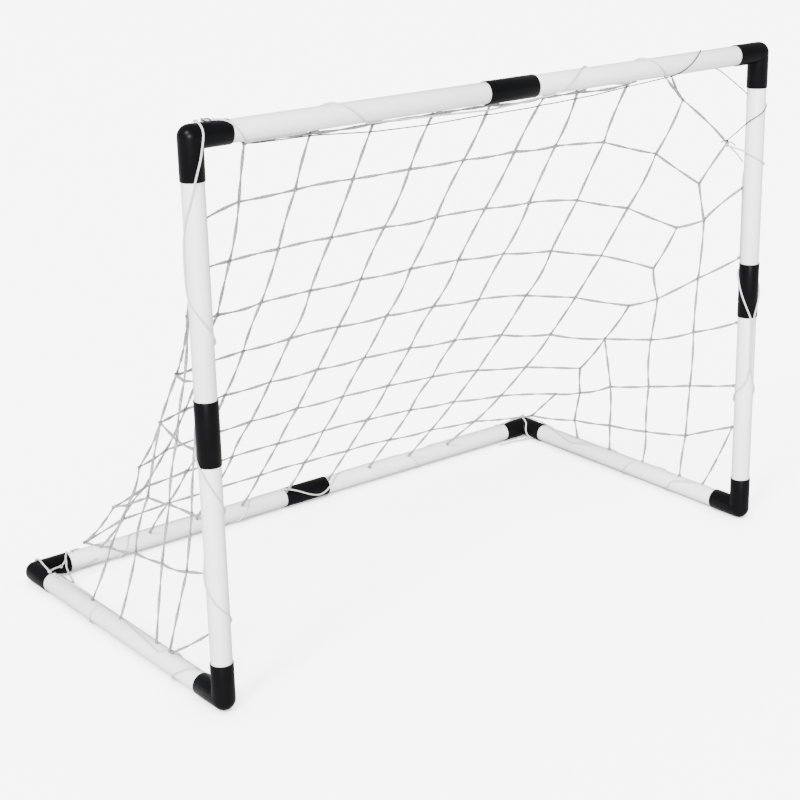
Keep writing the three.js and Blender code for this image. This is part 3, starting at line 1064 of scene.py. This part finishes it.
# a smooth curve through a few points
def curveThrough(points, steps=6):
    smooth = []
    for i in range(len(points) - 1):
        before, start = points[max(i - 1, 0)], points[i]
        end, after = points[i + 1], points[min(i + 2, len(points) - 1)]
        for k in range(steps):
            t = k / steps
            smooth.append((
                start * 2 + (end - before) * t + (before * 2 - start * 5 + end * 4 - after) * t ** 2
                + (start * 3 - before - end * 3 + after) * t ** 3
            ) / 2)
    return smooth + [points[-1]]


def tieShortCords(cordage, name, radius):
    knotSize = laceSettings["knotSize"] * radius / laceSettings["radius"]
    for owner, corner, inward, cords in shortCords:
        if owner != name:
            continue
        for cord in cords:
            points = tiePoints(corner, inward, cord)
            cordage.sweep(easedPoints(curveThrough(points), radius, 1), radius, laceSettings["sides"])
            tieKnot(cordage, points[0], knotSize)


def stopPlace(stop, radius):
    if isinstance(stop, Vector):
        return stop.copy()
    name, along, degrees, *extra = stop
    lift = extra[0] / 1000 if extra else 0.0
    return members[name].place(along / 1000, degrees, radius + lift)


def routePoints(route, radius):
    points = []
    for current, following in zip(route, route[1:]):
        start, end = stopPlace(current, radius), stopPlace(following, radius)
        sameMember = not isinstance(current, Vector) and not isinstance(following, Vector)
        sameMember = sameMember and current[0] == following[0]
        length = (end - start).length
        if sameMember:
            arc = math.radians(abs(following[2] - current[2])) * tubeRadius
            length = math.hypot(arc, (following[1] - current[1]) / 1000)
        steps = max(2, round(length / laceSettings["step"]))
        for k in range(steps):
            part = k / steps
            if sameMember:
                heights = [stop[3] if len(stop) > 3 else 0.0 for stop in (current, following)]
                stop = (
                    current[0], mixed(current[1], following[1], part),
                    mixed(current[2], following[2], part), mixed(*heights, part),
                )
                points.append(stopPlace(stop, radius))
            else:
                points.append(start.lerp(end, part))
    points.append(stopPlace(route[-1], radius))
    return points


# a point that has sunk into a tube or a sleeve is put back on its surface
def clearOfFrame(point, radius):
    for member in members.values():
        along = (point - member.start).dot(member.direction)
        if not 0 <= along <= member.span:
            continue
        foot = member.start + member.direction * along
        offset = point - foot
        least = member.surface(along) + radius
        if offset.length < least:
            point = foot + offset.normalized() * least
    return point


def easedPoints(points, radius, rounds):
    for _ in range(rounds):
        middle = [
            (points[i - 1] + points[i] * 2 + points[i + 1]) / 4 for i in range(1, len(points) - 1)
        ]
        points = [points[0]] + [clearOfFrame(point, radius) for point in middle] + [points[-1]]
    return points


def makeLaces():
    s = laceSettings
    for name, route in laces.items():
        dark = name == "top_tie_cord"
        radius = s["tieRadius"] if dark else s["radius"]
        points = easedPoints(routePoints(route, radius), radius, s["easing"])
        cordage = Cordage()
        cordage.sweep(points, radius, s["sides"])
        for end in (points[0], points[-1]):
            tieKnot(cordage, end, s["knotSize"] * radius / s["radius"])
        tieShortCords(cordage, name, radius)
        piece = cordage.finished(f"{name}_wound")
        pressOnGround(piece, s["groundGap"])
        length = sum((b - a).length for a, b in zip(points, points[1:]))
        print(f"{name} is {length * 1000:.0f} mm long")
        material, slot = (tieCord, "dark_cord") if dark else (lacingCord, "lacing_cord")
        handIn(piece, f"{name}_wound", material, slot, name)


makeLaces()
print("lacing made")


# the floor and the lights: broad suns stand for soft boxes, so the floor is lit evenly to its far edge
lightSettings = {
    "fill": 0.8,
    "backdrop": 7.5,
    "floor": (0.93, 0.93, 0.93),
    "floorBounce": (0.22, 0.22, 0.22),
    "suns": (
        ("keySun", -66, 46, 14, 6.5),
        ("frontSun", -36, 16, 24, 8.0),
        ("overheadSun", -40, 88, 110, 17.0),
    ),
}


def addFloor():
    deselectAll()
    bpy.ops.mesh.primitive_plane_add(size=60)
    floor = bpy.context.object
    floor.name = "floor"
    applyPlace(floor)
    material, tree, shader = newMaterial("palePaper")
    shader.inputs["Base Color"].default_value = (*lightSettings["floor"], 1)
    shader.inputs["Roughness"].default_value = 0.9
    shader.inputs["Specular IOR Level"].default_value = 0.1
    bounce = tree.nodes.new("ShaderNodeBsdfDiffuse")
    bounce.inputs["Color"].default_value = (*lightSettings["floorBounce"], 1)
    seen = tree.nodes.new("ShaderNodeLightPath")
    mix = tree.nodes.new("ShaderNodeMixShader")
    tree.links.new(seen.outputs["Is Camera Ray"], mix.inputs["Fac"])
    tree.links.new(bounce.outputs[0], mix.inputs[1])
    tree.links.new(shader.outputs[0], mix.inputs[2])
    tree.links.new(mix.outputs[0], tree.nodes["Material Output"].inputs["Surface"])
    floor.data.materials.append(material)
    return floor


# the backdrop that the lens sees is as bright as the floor, and what lights the goal from there is dimmer
def addLights(floor):
    world = bpy.data.worlds.new("studio")
    bpy.context.scene.world = world
    world.use_nodes = True
    tree = world.node_tree
    fill = tree.nodes["Background"]
    backdrop = tree.nodes.new("ShaderNodeBackground")
    seen = tree.nodes.new("ShaderNodeLightPath")
    mix = tree.nodes.new("ShaderNodeMixShader")
    for shader, strength in ((fill, lightSettings["fill"]), (backdrop, lightSettings["backdrop"])):
        shader.inputs["Color"].default_value = (1, 1, 1, 1)
        shader.inputs["Strength"].default_value = strength
    tree.links.new(seen.outputs["Is Camera Ray"], mix.inputs["Fac"])
    tree.links.new(fill.outputs[0], mix.inputs[1])
    tree.links.new(backdrop.outputs[0], mix.inputs[2])
    tree.links.new(mix.outputs[0], tree.nodes["World Output"].inputs["Surface"])
    for name, azimuth, elevation, spread, strength in lightSettings["suns"]:
        deselectAll()
        bpy.ops.object.light_add(type="SUN", location=(0, 0, 2))
        sun = bpy.context.object
        sun.name = name
        sun.data.angle = math.radians(spread)
        sun.data.energy = strength
        turn, height = math.radians(azimuth), math.radians(elevation)
        towards = Vector((
            math.sin(turn) * math.cos(height), -math.cos(turn) * math.cos(height), math.sin(height),
        ))
        sun.rotation_euler = towards.to_track_quat("Z", "Y").to_euler()
        if name == "overheadSun":
            onlyFloor = bpy.data.collections.new("litByOverheadSun")
            onlyFloor.objects.link(floor)
            sun.light_linking.receiver_collection = onlyFloor


addLights(addFloor())
print("floor and lights set")
